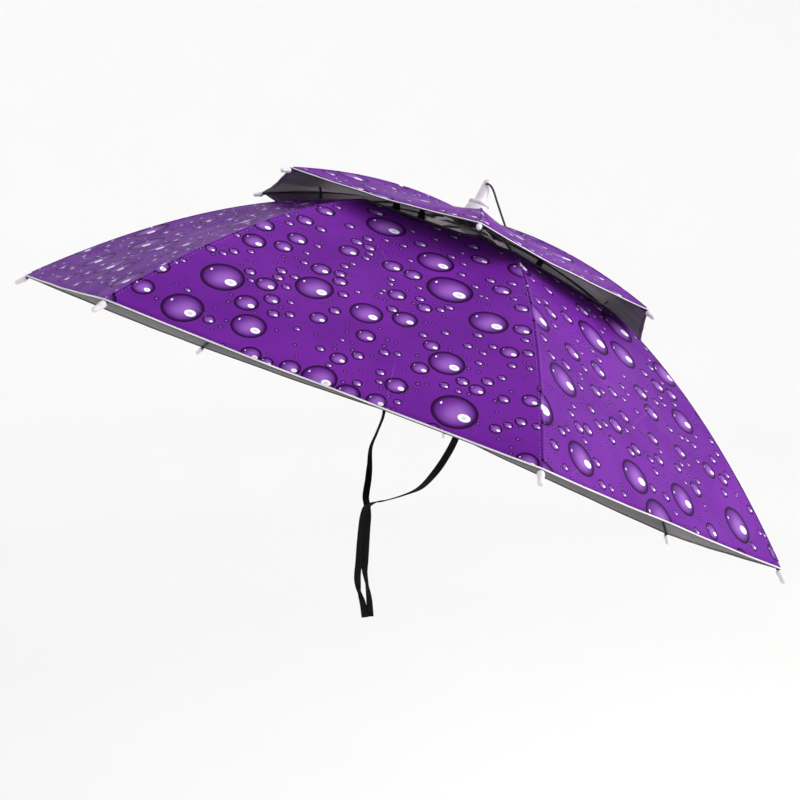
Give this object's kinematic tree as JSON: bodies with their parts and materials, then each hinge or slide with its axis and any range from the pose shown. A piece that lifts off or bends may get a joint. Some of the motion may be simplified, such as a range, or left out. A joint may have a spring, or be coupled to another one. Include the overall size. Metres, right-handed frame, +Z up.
{
  "type": "umbrella hat",
  "caption": "Umbrella worn on the head: ribbed main canopy with an open vent, small top canopy, headband on stretchers, chin strap.",
  "frame": {"origin": "middle of the headband, where the hat sits on the head", "axes": "+Z up as the wearer stands, -Y the way the wearer faces, +X the wearer's left; the hat's own axis leans back towards +Y"},
  "size_m": [0.9273, 0.8382, 0.5574],
  "materials": {
    "canopy_cloth": "printed satin cloth",
    "canopy_lining": "matt coated cloth",
    "hem_binding": "woven tape",
    "rib_rod": "satin",
    "white_plastic": "moulded satin",
    "black_plastic": "moulded",
    "elastic": "knitted elastic",
    "webbing": "flat webbing",
    "cord": "braided"
  },
  "bodies": {
    "root": {"main_gore_1": "canopy_cloth", "main_gore_2": "canopy_cloth", "main_gore_3": "canopy_cloth", "main_gore_4": "canopy_cloth", "main_gore_5": "canopy_cloth", "main_gore_6": "canopy_cloth", "main_gore_7": "canopy_cloth", "main_rib_1": "rib_rod", "main_rib_2": "rib_rod", "main_rib_3": "rib_rod", "main_rib_4": "rib_rod", "main_rib_5": "rib_rod", "main_rib_6": "rib_rod", "main_rib_7": "rib_rod", "rib_tip_1": "white_plastic", "rib_tip_2": "white_plastic", "rib_tip_3": "white_plastic", "rib_tip_4": "white_plastic", "rib_tip_5": "white_plastic", "rib_tip_6": "white_plastic", "rib_tip_7": "white_plastic", "stretcher_1": "rib_rod", "stretcher_2": "rib_rod", "stretcher_3": "rib_rod", "stretcher_4": "rib_rod", "stretcher_5": "rib_rod", "stretcher_6": "rib_rod", "stretcher_7": "rib_rod", "top_rib_1": "rib_rod", "top_rib_2": "rib_rod", "top_rib_3": "rib_rod", "top_rib_4": "rib_rod", "top_rib_5": "rib_rod", "top_rib_6": "rib_rod", "top_rib_7": "rib_rod", "top_tip_1": "white_plastic", "top_tip_2": "white_plastic", "top_tip_3": "white_plastic", "top_tip_4": "white_plastic", "top_tip_5": "white_plastic", "top_tip_6": "white_plastic", "top_tip_7": "white_plastic", "vent_strap_1": "elastic", "vent_strap_2": "elastic", "vent_strap_3": "elastic", "vent_strap_4": "elastic", "vent_strap_5": "elastic", "vent_strap_6": "elastic", "vent_strap_7": "elastic", "vent_strap_8": "elastic", "top_canopy": "canopy_cloth", "hub": "black_plastic", "finial": "white_plastic", "finial_cord": "cord", "headband": "elastic", "chin_strap_left": "webbing", "chin_strap_right": "webbing"}
  },
  "joints": []
}
